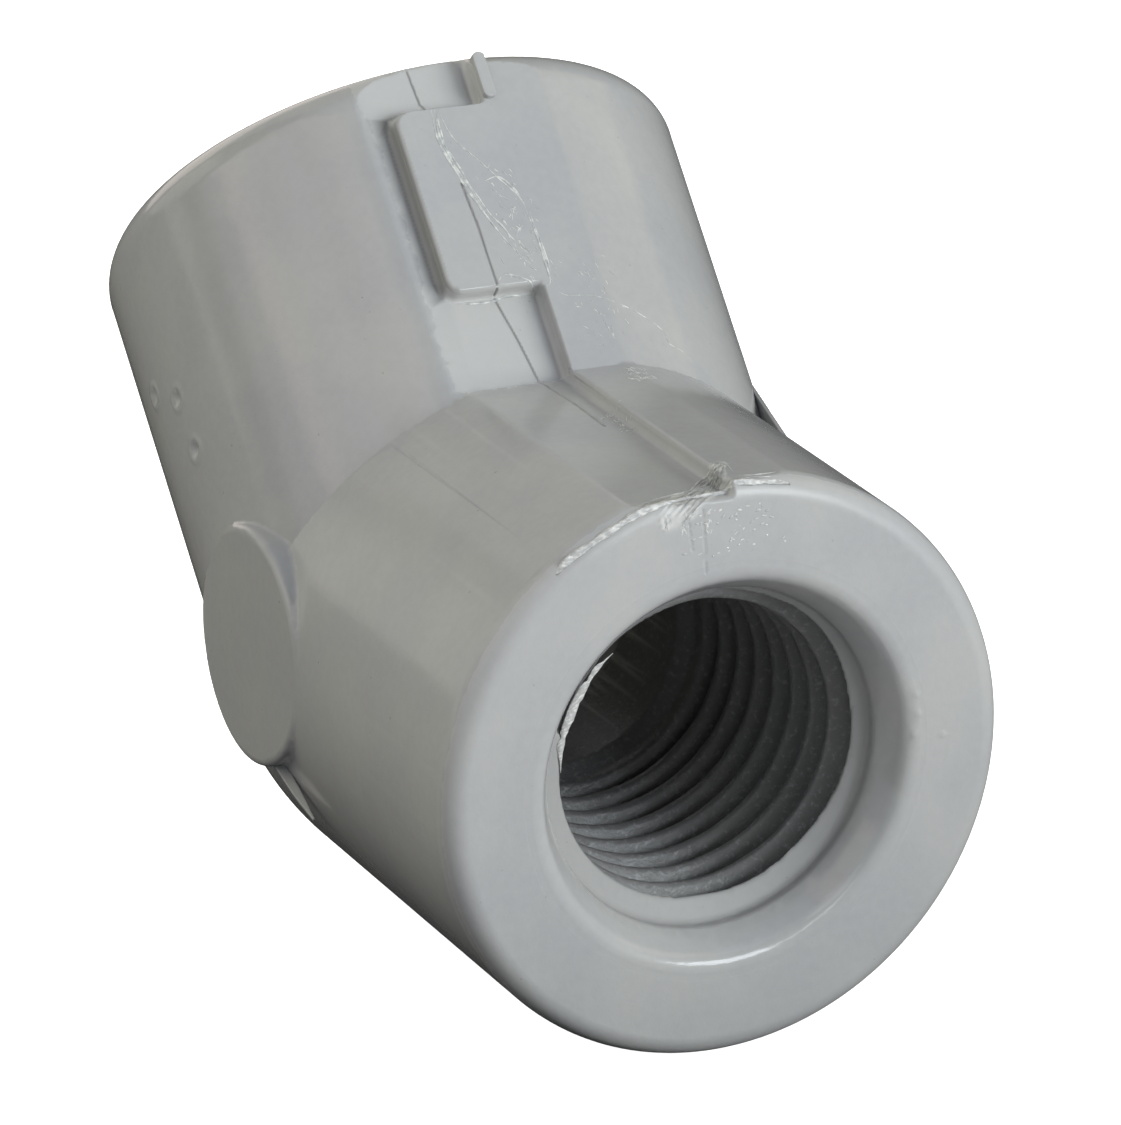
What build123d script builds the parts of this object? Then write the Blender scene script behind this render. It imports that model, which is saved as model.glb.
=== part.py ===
"""Threaded 45 degree elbow for 1/4 inch taper pipe, in grey PVC, with the flash left on it from moulding.

Frame, in millimetres: the origin is the centre of the inlet's end face. The inlet hub's axis is Y, and its
mouth looks along -Y. The outlet hub rises from the bend at 45 degrees, in the plane x = 0. +Z is up.
The two halves of the mould met in the plane x = 0.
"""

from build123d import *
import math
import os

# Hubs: both are the same length; the outlet's has a little draft, and its rim is rounder
HUB_RADIUS = 11.1
OUTLET_FACE_RADIUS = 11.2
CENTRE_TO_FACE = 18.2
BEND_ANGLE = 45.0
INLET_RIM_ROUND = 0.9
OUTLET_RIM_ROUND = 1.7

# Mouth: a countersink with a soft outer border, a short straight land, then the thread's chamfer
BORDER_ROUND = 0.45
SINK_RADIUS = 7.3
LAND_RADIUS = 6.5
LAND_START = 1.35
LAND_LENGTH = 0.4
CREST_START = 2.2

# Female taper thread, 18 turns to the inch, taper 1 in 16 on the diameter
THREADS_PER_INCH = 18
PITCH = 25.4 / THREADS_PER_INCH
RADIUS_TAPER = 1 / 32
CREST_RADIUS = 5.62
THREAD_END = 13.6
THREAD_DEPTH = 0.88
ROOT_FLAT = 0.22
CREST_FLAT = 0.3
THREAD_TURN = 45.0  # where the thread's deep end lies, round from +X towards the bend's inner side
WATERWAY_RADIUS = 4.75
WATERWAY_STEP = 0.5

# Flat lands along the inner side of the bend, one for each half of the mould, and the blank marking pad
LEFT_LAND_INLET = 0.935 * HUB_RADIUS
LEFT_LAND_OUTLET = 0.915 * HUB_RADIUS
RIGHT_LAND = 0.98 * HUB_RADIUS
PAD_WIDTH = 3.75
PAD_START = 8.2
PAD_END = 15.9
PAD_CORNER = 0.6
PAD_EDGE = 0.2
PAD_REACH = 0.6  # past the parting plane, inside the right half, so that the two halves join

# Round flat coins on both sides of the bend
COIN_RADIUS = 4.55
COIN_FACE = HUB_RADIUS + 0.03
COIN_EDGE = 0.25
COIN_SHIFT = 0.5

# Gate stub and flash; angles go round the inlet from the inner side of the bend, to the right when positive
STUB_WIDTH = 0.5
STUB_LENGTH = 1.9
STUB_DEPTH = 1.1
STUB_BELOW_FACE = 0.35
STUB_ABOVE_HUB = 0.02
SKIN = 0.14
RIM_FLASH_FROM, RIM_FLASH_TO = -39.0, 6.0
LIP_FLASH_FROM, LIP_FLASH_TO = -88.0, -42.0
LIP_FLASH_REACH = 0.3
FIN_FROM = (-10.5, -2.2, -4.0)
FIN_TO = (-10.2, -4.7, -5.3)
FIN_ROOT = 0.45
FIN_THICKNESS = 0.16

# A web of flash across the crease on the right, from one hub to the other; corners are from the bend's centre
WEB_ON_OUTLET = (9.7, 0.2, 7.7)
WEB_ON_INLET = (7.95, -6.9, 7.65)
WEB_ROOT = (9.0, -2.75, 6.2)
WEB_THICKNESS = 0.15

LOW = (Align.CENTER, Align.CENTER, Align.MIN)

# A hub is drawn on its own +Z axis, from the bend's centre out to its face, and then turned into place.
# The outlet's inner side is then its own -Y, and the inlet's is its own +Y.
INLET_PLACE = Rot(90, 0, 0)
OUTLET_PLACE = Rot(-BEND_ANGLE, 0, 0)
TO_FRAME = Pos(0, CENTRE_TO_FACE, 0)


def inlet_hub():
    """The outside of the inlet's hub, with its rim rounded over."""
    solid = Cylinder(HUB_RADIUS, CENTRE_TO_FACE, align=LOW)
    rim = solid.edges().sort_by(Axis.Z)[-1]
    return INLET_PLACE * fillet(rim, INLET_RIM_ROUND)


def outlet_hub():
    """The outside of the outlet's hub: a cone that widens a little from the bend to the face."""
    solid = Cone(HUB_RADIUS, OUTLET_FACE_RADIUS, CENTRE_TO_FACE, align=LOW)
    rim = solid.edges().sort_by(Axis.Z)[-1]
    return OUTLET_PLACE * fillet(rim, OUTLET_RIM_ROUND)


def crest_radius(depth):
    """The thread's crest at a depth below the face."""
    return CREST_RADIUS - (depth - CREST_START) * RADIUS_TAPER


def mouth():
    """The smooth hollow of one hub: countersink, land, chamfer, thread crests' cone and waterway."""

    def at(radius, depth):
        return (radius, CENTRE_TO_FACE - depth)

    land_end = LAND_START + LAND_LENGTH
    with BuildSketch(Plane.XZ) as section:
        with BuildLine():
            Polyline(
                at(0, -1),
                at(SINK_RADIUS, -1),
                at(SINK_RADIUS, 0),
                at(LAND_RADIUS, LAND_START),
                at(LAND_RADIUS, land_end),
                at(CREST_RADIUS, CREST_START),
                at(crest_radius(THREAD_END), THREAD_END),
                at(WATERWAY_RADIUS, THREAD_END + WATERWAY_STEP),
                (WATERWAY_RADIUS, 0),
                (0, 0),
                close=True,
            )
        make_face()
    return revolve(section.sketch, axis=Axis.Z)


def soft_border():
    """A ring that rolls the countersink's outer border over into the face."""
    roll = BORDER_ROUND
    slope = math.atan2(SINK_RADIUS - LAND_RADIUS, LAND_START)
    down = roll * math.cos(slope)
    in_by = roll * math.sin(slope)
    with BuildSketch(Plane.XZ) as section:
        with BuildLine():
            Polyline(
                (SINK_RADIUS + roll, CENTRE_TO_FACE),
                (SINK_RADIUS + roll, CENTRE_TO_FACE + 1),
                (SINK_RADIUS - in_by, CENTRE_TO_FACE + 1),
                (SINK_RADIUS - in_by, CENTRE_TO_FACE - down),
            )
            Spline(
                (SINK_RADIUS - in_by, CENTRE_TO_FACE - down),
                (SINK_RADIUS + roll, CENTRE_TO_FACE),
                tangents=[(in_by, down), (1, 0)],
            )
        make_face()
    return revolve(section.sketch, axis=Axis.Z)


def thread():
    """The helical groove that cuts the thread's roots, from its deep end out into the chamfer."""
    length = THREAD_END - CREST_START + PITCH / 4
    deep_radius = crest_radius(THREAD_END)
    cone = math.degrees(math.atan(RADIUS_TAPER))
    path = Helix(pitch=PITCH, height=length, radius=deep_radius, cone_angle=cone)
    open_half = (PITCH - CREST_FLAT) / 2
    root_half = ROOT_FLAT / 2
    below = 0.3
    flank = (open_half - root_half) / THREAD_DEPTH
    mouth_half = open_half + below * flank
    with BuildSketch(Plane(origin=path @ 0, x_dir=(1, 0, 0), z_dir=path % 0)) as section:
        Polygon(
            (-below, -mouth_half),
            (THREAD_DEPTH, -root_half),
            (THREAD_DEPTH, root_half),
            (-below, mouth_half),
            align=None,
        )
    groove = sweep(section.sketch, path=path, is_frenet=True)
    return Pos(0, 0, CENTRE_TO_FACE - THREAD_END) * Rot(0, 0, THREAD_TURN) * groove


def above_lands(inlet_level, outlet_level, x_from, x_to):
    """All that lies above two flats along the inner side of the bend, over a span of x."""
    turn = math.radians(BEND_ANGLE)
    beyond = CENTRE_TO_FACE + 2
    high = 6.0

    def on_outlet(along, out):
        y = along * math.cos(turn) - out * math.sin(turn)
        z = along * math.sin(turn) + out * math.cos(turn)
        return (y, z)

    crease_y = (inlet_level * math.cos(turn) - outlet_level) / math.sin(turn)
    with BuildSketch(Plane.YZ.offset(x_from)) as section:
        Polygon(
            (-beyond, inlet_level),
            (crease_y, inlet_level),
            on_outlet(beyond, outlet_level),
            on_outlet(beyond, outlet_level + high),
            (-beyond, inlet_level + high),
            align=None,
        )
    return extrude(section.sketch, amount=x_to - x_from)


def marking_pad():
    """The raised rectangle on the outlet hub's left land, level with the right land and left blank."""
    sunk = 1.2
    height = RIGHT_LAND - LEFT_LAND_OUTLET + sunk
    block = Box(PAD_WIDTH + PAD_REACH, height, PAD_END - PAD_START)
    pad = Pos((PAD_REACH - PAD_WIDTH) / 2, height / 2 - RIGHT_LAND, (PAD_START + PAD_END) / 2) * block
    corners = pad.edges().filter_by(Axis.Y).group_by(Axis.X)[0]
    pad = fillet(corners, PAD_CORNER)
    top = pad.faces().sort_by(Axis.Y)[0]
    outline = top.edges().sort_by(Axis.X)[:-1]
    pad = fillet(outline, PAD_EDGE)
    return OUTLET_PLACE * pad


def coins():
    """The round flat coins: one bar through the bend, with its ends' edges rounded."""
    bar = Rot(0, 90, 0) * Cylinder(COIN_RADIUS, 2 * COIN_FACE)
    bar = fillet(bar.edges().filter_by(GeomType.CIRCLE), COIN_EDGE)
    return Pos(0, -COIN_SHIFT, COIN_SHIFT / 2) * bar


def elbow_body():
    """The whole moulding, with the bend's centre at the origin."""
    outside = inlet_hub() + outlet_hub() + Sphere(HUB_RADIUS)
    body = outside + coins()
    body -= above_lands(LEFT_LAND_INLET, LEFT_LAND_OUTLET, -HUB_RADIUS, 0)
    body -= above_lands(RIGHT_LAND, RIGHT_LAND, 0, HUB_RADIUS)
    body += marking_pad()
    for place in (INLET_PLACE, OUTLET_PLACE):
        body -= place * mouth()
        body -= place * soft_border()
    body -= Sphere(WATERWAY_RADIUS)
    for place in (INLET_PLACE, OUTLET_PLACE):
        body -= place * thread()
    return body


def gate_stub():
    """The stub of the gate on the outlet's rim, beside the parting plane."""
    stub = Box(STUB_WIDTH, STUB_DEPTH, STUB_LENGTH)
    stub = fillet(stub.edges().filter_by(Axis.Y), STUB_WIDTH * 0.4)
    out = HUB_RADIUS + STUB_ABOVE_HUB - STUB_DEPTH / 2
    along = CENTRE_TO_FACE - STUB_BELOW_FACE - STUB_LENGTH / 2
    return OUTLET_PLACE * Pos(STUB_WIDTH / 2, -out, along) * stub


def rim_flash():
    """The skin of flash that stands on the inlet's rounded rim, from the left side to the parting plane."""
    centre = (HUB_RADIUS - INLET_RIM_ROUND, CENTRE_TO_FACE - INLET_RIM_ROUND)
    with BuildSketch(Plane.YZ) as section:
        with Locations(centre):
            Circle(INLET_RIM_ROUND + SKIN)
            Rectangle(30, 3, align=(Align.CENTER, Align.MAX), mode=Mode.SUBTRACT)
            Rectangle(3, 3, align=(Align.MAX, Align.CENTER), mode=Mode.SUBTRACT)
    sector = revolve(section.sketch, axis=Axis.Z, revolution_arc=RIM_FLASH_TO - RIM_FLASH_FROM)
    return INLET_PLACE * Rot(0, 0, -RIM_FLASH_TO) * sector


def lip_flash():
    """The ragged skin that reaches in over the first thread at the left of the inlet's mouth."""
    inner = CREST_RADIUS - LIP_FLASH_REACH
    width = LIP_FLASH_REACH + 0.5
    level = CENTRE_TO_FACE - CREST_START + 0.1
    with BuildSketch(Plane.YZ) as section:
        with Locations((inner + width / 2, level)):
            Rectangle(width, SKIN)
    sector = revolve(section.sketch, axis=Axis.Z, revolution_arc=LIP_FLASH_TO - LIP_FLASH_FROM)
    return INLET_PLACE * Rot(0, 0, -LIP_FLASH_TO) * sector


def bend_fin():
    """A thin leaf of flash that hangs from the foot of the left coin and runs down towards the inlet."""
    root = Vector(*FIN_FROM)
    along = Vector(*FIN_TO) - root
    outward = Vector(root.X, 0, root.Z).normalized()
    flat = Plane(origin=root, x_dir=along, z_dir=along.cross(outward))
    half = FIN_ROOT / 2
    with BuildSketch(flat) as section:
        Polygon(
            (-FIN_ROOT, -half),
            (along.length / 2, -half * 0.6),
            (along.length, -half * 0.1),
            (along.length, half * 0.3),
            (along.length / 2, half * 0.9),
            (-FIN_ROOT, half),
            align=None,
        )
    return extrude(section.sketch, amount=FIN_THICKNESS / 2, both=True)


def crease_web():
    """The thin three-cornered web that closes the crease on the right, with its long edge free."""
    root = Vector(*WEB_ROOT)
    corners = [Vector(*WEB_ON_OUTLET), Vector(*WEB_ON_INLET), root]
    long_edge = corners[1] - corners[0]
    flat = Plane(origin=root, x_dir=long_edge, z_dir=long_edge.cross(root - corners[0]))
    outline = [flat.to_local_coords(corner) for corner in corners]
    with BuildSketch(flat) as section:
        Polygon(*[(corner.X, corner.Y) for corner in outline], align=None)
    return extrude(section.sketch, amount=WEB_THICKNESS / 2, both=True)


def write(name, solid):
    """Write one node's STEP file in the part's frame, and say how large it came out."""
    export_step(TO_FRAME * solid, f"parts/{name}.step")
    state = "valid" if solid.is_valid else "NOT VALID"
    print(name, round(solid.volume, 2), "mm3", state, len(solid.solids()))


os.makedirs("parts", exist_ok=True)
body = elbow_body()
write("elbow_body", body)
write("gate_stub", gate_stub() - body)
write("rim_flash", rim_flash() - body)
write("lip_flash", lip_flash() - body)
write("bend_fin", bend_fin() - body)
write("crease_web", crease_web() - body)
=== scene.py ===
"""Looks for the 45 degree threaded elbow: one grey moulding with its gate scar, flash, scrapes and residue.

Lengths are in millimetres in the row frame, and are turned into metres only where a mesh or an object is
made. The studio's lights, floor and backdrop are placed in metres. Angles round a hub are in degrees from
the inner side of the bend, to the right when positive.
"""

import math

import bmesh
import bpy
import numpy as np
from mathutils import Matrix, Vector
from mathutils.bvhtree import BVHTree

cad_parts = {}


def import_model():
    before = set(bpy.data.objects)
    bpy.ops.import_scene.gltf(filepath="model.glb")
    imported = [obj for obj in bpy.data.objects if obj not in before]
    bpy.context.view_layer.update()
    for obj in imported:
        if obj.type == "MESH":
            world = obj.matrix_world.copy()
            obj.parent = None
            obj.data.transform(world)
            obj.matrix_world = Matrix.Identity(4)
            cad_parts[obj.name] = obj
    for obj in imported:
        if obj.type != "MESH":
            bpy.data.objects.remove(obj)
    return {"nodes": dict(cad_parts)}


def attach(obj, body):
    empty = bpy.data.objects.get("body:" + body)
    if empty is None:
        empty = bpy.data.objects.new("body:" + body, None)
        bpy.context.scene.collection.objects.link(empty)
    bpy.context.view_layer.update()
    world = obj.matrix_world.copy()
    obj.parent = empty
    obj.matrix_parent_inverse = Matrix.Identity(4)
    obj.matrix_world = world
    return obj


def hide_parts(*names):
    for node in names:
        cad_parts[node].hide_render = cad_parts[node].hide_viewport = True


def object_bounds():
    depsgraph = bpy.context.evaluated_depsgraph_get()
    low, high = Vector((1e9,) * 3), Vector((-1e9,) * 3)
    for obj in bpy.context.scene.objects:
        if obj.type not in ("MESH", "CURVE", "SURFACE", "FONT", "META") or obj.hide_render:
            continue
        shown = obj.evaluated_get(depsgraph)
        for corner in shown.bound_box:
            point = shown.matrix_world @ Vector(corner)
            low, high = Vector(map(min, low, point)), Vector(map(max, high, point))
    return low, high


MM = 0.001

# The moulding's driving sizes
HUB_RADIUS = 11.1
OUTLET_DRAFT = 0.1
INLET_RIM_ROUND, OUTLET_RIM_ROUND = 0.9, 1.7
CENTRE_TO_FACE = 18.2
SINK_EDGE = 7.75
CREST_RADIUS = 5.62
LEFT_LAND_INLET = 0.935 * HUB_RADIUS
LEFT_LAND_OUTLET = 0.915 * HUB_RADIUS
RIGHT_LAND = 0.98 * HUB_RADIUS
COIN_FACE = HUB_RADIUS + 0.03
COIN_RADIUS = 4.55
COIN_MIDDLE = (17.7, 0.25)
PAD_LEFT = -3.75
PAD_START, PAD_END = 8.2, 15.9
BEND = np.array([0.0, CENTRE_TO_FACE, 0.0])

# Mesh detail of the moulding
VOXEL = 0.12
MOST_TRIANGLES = 190_000
SNAP_FULL, SNAP_NONE = 0.02, 0.05  # gaps to an exact surface that are closed fully, and not at all
WITNESS_STRIP = 0.18  # half width of the strip that is split twice along the witness line
SCAR_STRIP = 0.35  # half width of the strip that is split once along every scar

# Painted shade inside the mouths: nearer the axis than a radius, and deeper than a distance from the bend's
# centre
BORE_RADIUS, BORE_FROM = 6.7, 15.9
MOUTH_RADIUS, MOUTH_FROM = 6.9, 17.0

# Colours
COOL_GREY = (0.340, 0.340, 0.345, 1)
WARM_GREY = (0.365, 0.365, 0.358, 1)
FROST_GREY = (0.50, 0.50, 0.49, 1)
# Painted shade in the bores, the mouths and the witness groove
PAINTED_SHADE_BLACK = (0.03, 0.03, 0.03, 1)
# Painted shade in the corner beside the pad
CORNER_SHADE = (0.07, 0.07, 0.07, 1)
DARK_SPECK = (0.14, 0.14, 0.13, 1)
# Pale flecks painted on the threads as glints
THREAD_GLINT = (0.60, 0.62, 0.63, 1)
TORN_PALE = (0.66, 0.66, 0.64, 1)
PVC_IOR = 1.53

# Camera: seen from the inlet's left, a little above
CAMERA_AT = (-130.4, -259.6, 112.4)
CAMERA_LOOKS = (0.4044, 0.8495, -0.3388)
CAMERA_UP = (0.1273, 0.3146, 0.9407)
LENS = 278.2
SENSOR = 36.0

# Studio, in metres
PART_MIDDLE = (0, 0.018, 0.003)
FLOOR_HALF = 3.0
BACKDROP_RADIUS = 3.5
WORLD_STRENGTH = 0.02


# Small helpers

def smoothstep(low, high, value):
    t = np.clip((value - low) / (high - low), 0, 1)
    return t * t * (3 - 2 * t)


def bell(gap, width):
    """A smooth bump: 1 where gap is 0, almost 0 two widths away."""
    return np.exp(-((gap / width) ** 2))


def unit(vectors):
    return vectors / np.maximum(np.linalg.norm(vectors, axis=-1, keepdims=True), 1e-9)


def value_noise(points, size, seed):
    """Smooth noise from -1 to 1 with blobs about size across, from a hash that is the same on every run."""
    cells = np.asarray(points, float) / size
    low = np.floor(cells).astype(np.int64)
    part = cells - low
    part = part * part * (3 - 2 * part)
    total = np.zeros(len(cells))
    for corner in np.ndindex(2, 2, 2):
        i, j, k = (low + corner).T
        mixed = (i * 73856093) ^ (j * 19349663) ^ (k * 83492791) ^ (seed * 265443576)
        mixed = (mixed ^ (mixed >> 13)) * 1274126177
        value = ((mixed ^ (mixed >> 16)) & 0xFFFF) / 0x8000 - 1
        total += value * np.prod(np.where(corner, part, 1 - part), axis=1)
    return total


def link(obj):
    bpy.context.scene.collection.objects.link(obj)
    return obj


def read_points(mesh):
    flat = np.empty(len(mesh.vertices) * 3, np.float32)
    mesh.vertices.foreach_get("co", flat)
    return flat.reshape(-1, 3).astype(float) / MM


def write_points(mesh, points):
    mesh.vertices.foreach_set("co", (points * MM).astype(np.float32).ravel())
    mesh.update()


def read_normals(mesh):
    flat = np.empty(len(mesh.vertices) * 3, np.float32)
    mesh.vertex_normals.foreach_get("vector", flat)
    return flat.reshape(-1, 3).astype(float)


def applied(obj, name):
    """A new object that holds obj's mesh with its modifiers applied."""
    graph = bpy.context.evaluated_depsgraph_get()
    mesh = bpy.data.meshes.new_from_object(obj.evaluated_get(graph))
    mesh.name = name
    bpy.data.objects.remove(obj)
    return link(bpy.data.objects.new(name, mesh))


def smooth_curve(knots, spacing):
    """Points about spacing apart on a smooth curve through the knots."""
    knots = np.asarray(knots, float)
    ends = np.vstack((2 * knots[0] - knots[1], knots, 2 * knots[-1] - knots[-2]))
    runs = []
    for a, b, c, d in zip(ends, ends[1:], ends[2:], ends[3:]):
        count = max(2, int(np.linalg.norm(c - b) / spacing))
        t = np.linspace(0, 1, count, endpoint=False)[:, None]
        runs.append(0.5 * (2 * b + (c - a) * t + (2 * a - 5 * b + 4 * c - d) * t**2
                           + (3 * b - 3 * c + d - a) * t**3))
    return np.vstack(runs + [knots[-1:]])


def gap_to_path(points, path):
    """Each point's distance to a path of straight runs."""
    best = np.full(len(points), np.inf)
    for start, end in zip(path, path[1:]):
        run = end - start
        t = np.clip((points - start) @ run / (run @ run), 0, 1)
        best = np.minimum(best, np.linalg.norm(points - start - t[:, None] * run, axis=1))
    return best


def gap_to_paths(points, paths):
    """Each point's distance to the nearest of several paths."""
    return np.min([gap_to_path(points, path) for path in paths], axis=0)


# The two hubs

class Hub:
    """One end of the elbow: its axis from the bend out, and the direction of the bend's inner side."""

    def __init__(self, axis, inner, left_land, draft, rim_round):
        self.axis = np.array(axis)
        self.inner = np.array(inner)
        self.left_land = left_land
        self.draft = draft
        self.rim_round = rim_round

    def along(self, points):
        """Distances from the bend's centre towards the mouth."""
        return (points - BEND) @ self.axis

    def out(self, points):
        """Distances from the axis towards the bend's inner side."""
        return (points - BEND) @ self.inner

    def spokes(self, points):
        """Unit vectors out from the axis, and the distances from it."""
        offset = points - BEND
        offset = offset - np.outer(offset @ self.axis, self.axis)
        return unit(offset), np.linalg.norm(offset, axis=1)

    def radius(self, along):
        """The hub's outer radius at a distance from the bend's centre."""
        return HUB_RADIUS + self.draft * along / CENTRE_TO_FACE

    def at(self, x, along, out):
        """The point at a distance to the right, along the axis and towards the inner side."""
        return BEND + np.array([x, 0, 0]) + along * self.axis + out * self.inner

    def path(self, knots, out):
        return [self.at(x, along, out) for x, along in knots]


HALF = math.sqrt(0.5)
INLET = Hub((0, -1, 0), (0, 0, 1), LEFT_LAND_INLET, 0.0, INLET_RIM_ROUND)
OUTLET = Hub((0, HALF, HALF), (0, -HALF, HALF), LEFT_LAND_OUTLET, OUTLET_DRAFT, OUTLET_RIM_ROUND)
HUBS = (INLET, OUTLET)


# The moulding's mesh

def exact_surfaces(points):
    """Each exact surface of the part as the gap to it, its normal, and the points that belong to it."""
    x = points[:, 0]
    for hub in HUBS:
        along, out = hub.along(points), hub.out(points)
        spoke, radius = hub.spokes(points)
        depth = CENTRE_TO_FACE - along
        level = np.where(x < 0, hub.left_land, RIGHT_LAND)
        wall = hub.radius(along)
        rounded = out < level - 0.05
        yield radius - wall, spoke, (depth > hub.rim_round) & (along > 0) & rounded
        inner_edge = hub.radius(CENTRE_TO_FACE) - hub.rim_round
        yield -depth, hub.axis, (radius > SINK_EDGE) & (radius < inner_edge)
        across, up = radius - inner_edge, hub.rim_round - depth
        reach = np.hypot(across, up)
        away = unit(across[:, None] * spoke + up[:, None] * hub.axis)
        yield reach - hub.rim_round, away, (across > 0) & (up > 0) & rounded
        flat = (along > 0) & (radius > 8) & (radius < wall - 0.04) & (depth > 0.3 * hub.rim_round)
        yield out - hub.left_land, hub.inner, (x < 0) & flat
        yield out - RIGHT_LAND, hub.inner, (x > 0) & flat
    pad = (x < 0) & (OUTLET.along(points) > PAD_START) & (OUTLET.along(points) < PAD_END)
    yield OUTLET.out(points) - RIGHT_LAND, OUTLET.inner, pad
    ball = points - BEND
    behind_both = (INLET.along(points) < 0) & (OUTLET.along(points) < 0)
    yield np.linalg.norm(ball, axis=1) - HUB_RADIUS, unit(ball), behind_both
    sideways = np.sign(x)[:, None] * np.array([1.0, 0, 0])
    from_middle = np.hypot(points[:, 1] - COIN_MIDDLE[0], points[:, 2] - COIN_MIDDLE[1])
    yield np.abs(x) - COIN_FACE, sideways, from_middle < COIN_RADIUS - 0.3


def snapped(points, normals, free):
    """Points and normals pulled onto the exact surfaces they almost lie on, apart from the free ones."""
    points, normals = points.copy(), normals.copy()
    for gap, normal, there in exact_surfaces(points):
        near = there * (1 - smoothstep(SNAP_FULL, SNAP_NONE, np.abs(gap))) * (1 - free)
        points -= (near * gap)[:, None] * normal
        normals += near[:, None] * (normal - normals)
    return points, unit(normals)


def witness_paths():
    """The witness lines of an insert: from the pad over the crease to the inlet, and one above the pad."""
    on_pad = OUTLET.path([(-1.95, 12.6), (-1.84, 10.9), (-1.82, PAD_START)], RIGHT_LAND)
    below_pad = OUTLET.path([(-1.8, PAD_START), (-1.38, 6.3), (-1.1, 4.6)], LEFT_LAND_OUTLET)
    on_inlet = INLET.path([(-1.0, 4.4), (-0.9, 7.0), (-0.97, 9.4)], LEFT_LAND_INLET)
    above_pad = OUTLET.path([(-2.35, 18.0), (-2.25, 16.4), (-2.0, 16.0)], LEFT_LAND_OUTLET)
    return on_pad + below_pad + on_inlet, above_pad


def blisters():
    """Centres of the three shallow rings on the outlet hub's left side."""
    spots = [(11.1, -1.0), (10.0, 0.95), (7.75, 1.1)]
    return [OUTLET.at(-math.sqrt(OUTLET.radius(along)**2 - out**2), along, out) for along, out in spots]


# Small raised pips on the inlet's face, as x and z
FACE_PIPS = [(7.5, 1.85), (7.6, 1.1), (7.5, 0.3), (8.65, 0.15)]

# Scratches on the inlet's face, as the x and z of their ends
FACE_SCRATCHES = [
    ((-2.85, 10.0), (-2.75, 9.6)),
    ((-1.9, 10.0), (-1.65, 8.6)),
    ((-1.3, 10.1), (-1.2, 9.2)),
    ((-1.2, 9.2), (-1.1, 7.7)),
]

# The middle of the tear, from the inlet's face over the rim to the step, and the way across its fibres
TEAR = np.array([(-2.4, 0.1, 10.0), (-1.0, 0.7, 10.6), (0.0, 1.5, 10.95), (0.45, 2.2, 10.95)])
ACROSS = np.array([0.52, -0.69, -0.52])


def face_scratches():
    return [np.array([(x0, 0.0, z0), (x1, 0.0, z1)]) for (x0, z0), (x1, z1) in FACE_SCRATCHES]


def torn_rim(points):
    """How far the inlet's rim is torn into fibres, from 0 to 1: a swath over the rim to the step."""
    wobble = 0.12 * value_noise(points, 0.4, 11)
    width = 0.55 - 0.25 * smoothstep(-0.6, 0.4, points[:, 0])
    return smoothstep(width + 0.12, width - 0.12, gap_to_path(points, TEAR) + wobble)


def ploughed(gap, lip, depth):
    """The height across a scratch: a groove at its middle, and a lip raised beside it."""
    return lip * bell(gap - 0.09, 0.04) - depth * bell(gap, 0.035)


def carve(points):
    """How far the skin stands out of its exact surfaces, or in when negative."""
    x, y, z = points.T
    height = np.zeros(len(points))
    for path in witness_paths():
        height += ploughed(gap_to_path(points, path), 0.01, 0.08)
    for spot in blisters():
        gap = np.linalg.norm(points - spot, axis=1)
        height += 0.06 * bell(gap - 0.42, 0.14) - 0.11 * bell(gap, 0.26)
    for spot_x, spot_z in FACE_PIPS:
        height += 0.07 * bell(np.hypot(x - spot_x, z - spot_z), 0.12) * (y < 0.1)
    for path in face_scratches():
        height += ploughed(gap_to_path(points, path), 0.008, 0.05 * (y < 0.2))
    parting_line = 0.05 * bell(x, 0.09) * (z < -8) * (y > 0.9)
    height += parting_line
    comb = np.sin(points @ ACROSS * 38 + 1.5 * value_noise(points, 0.8, 3))
    height += torn_rim(points) * (0.03 + 0.018 * comb + 0.02 * value_noise(points, 0.5, 4))
    foot_of_step = INLET.path([(-0.12, 5.0), (-0.12, 16.0)], LEFT_LAND_INLET)
    height -= 0.05 * bell(gap_to_path(points, foot_of_step), 0.06)
    return height


def fine_zone(points):
    """The places whose scars need the finest mesh."""
    near = gap_to_paths(points, [*witness_paths(), *face_scratches()])
    return (near < SCAR_STRIP) | (torn_rim(points) > 0.02)


def soft_zone(points):
    """The step along the parting plane and the edges of the pad, which the mould left rounded."""
    x = points[:, 0]
    along, out = OUTLET.along(points), np.maximum(OUTLET.out(points), INLET.out(points))
    step = np.abs(x) < 0.5
    beside_pad = (along > PAD_START - 0.6) & (along < PAD_END + 0.5) & (x < 0.3)
    pad_edge = beside_pad & (np.abs(x - PAD_LEFT) < 0.5)
    pad_end = (x < 0.3) & (x > PAD_LEFT - 0.5) & (np.abs(along - PAD_START) < 0.5)
    pad_top = (x < 0.3) & (x > PAD_LEFT - 0.5) & (np.abs(along - PAD_END) < 0.4)
    crease = (np.abs(points[:, 1] - 13.9) < 0.8) & (np.abs(x) < 3)
    return (out > 9.2) & (step | pad_edge | pad_end | pad_top | crease)


def group_of(obj, name, chosen):
    group = obj.vertex_groups.new(name=name)
    group.add(np.flatnonzero(chosen).tolist(), 1.0, "REPLACE")
    return group.name


def along_lines(points):
    """The narrow strips that hold the witness line."""
    return gap_to_paths(points, witness_paths()) < WITNESS_STRIP


def split_finer(mesh, zone):
    """Halves the edges that lie in a zone."""
    chosen = zone(read_points(mesh))
    work = bmesh.new()
    work.from_mesh(mesh)
    work.verts.ensure_lookup_table()
    edges = [edge for edge in work.edges if chosen[edge.verts[0].index] and chosen[edge.verts[1].index]]
    bmesh.ops.subdivide_edges(work, edges=edges, cuts=1, use_grid_fill=True)
    work.to_mesh(mesh)
    work.free()


def smooth(obj, rounds, group=""):
    """Adds a smoothing of the whole mesh, or of a vertex group."""
    soften = obj.modifiers.new("soften", "SMOOTH")
    soften.factor = 0.5
    soften.iterations = rounds
    soften.vertex_group = group


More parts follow.
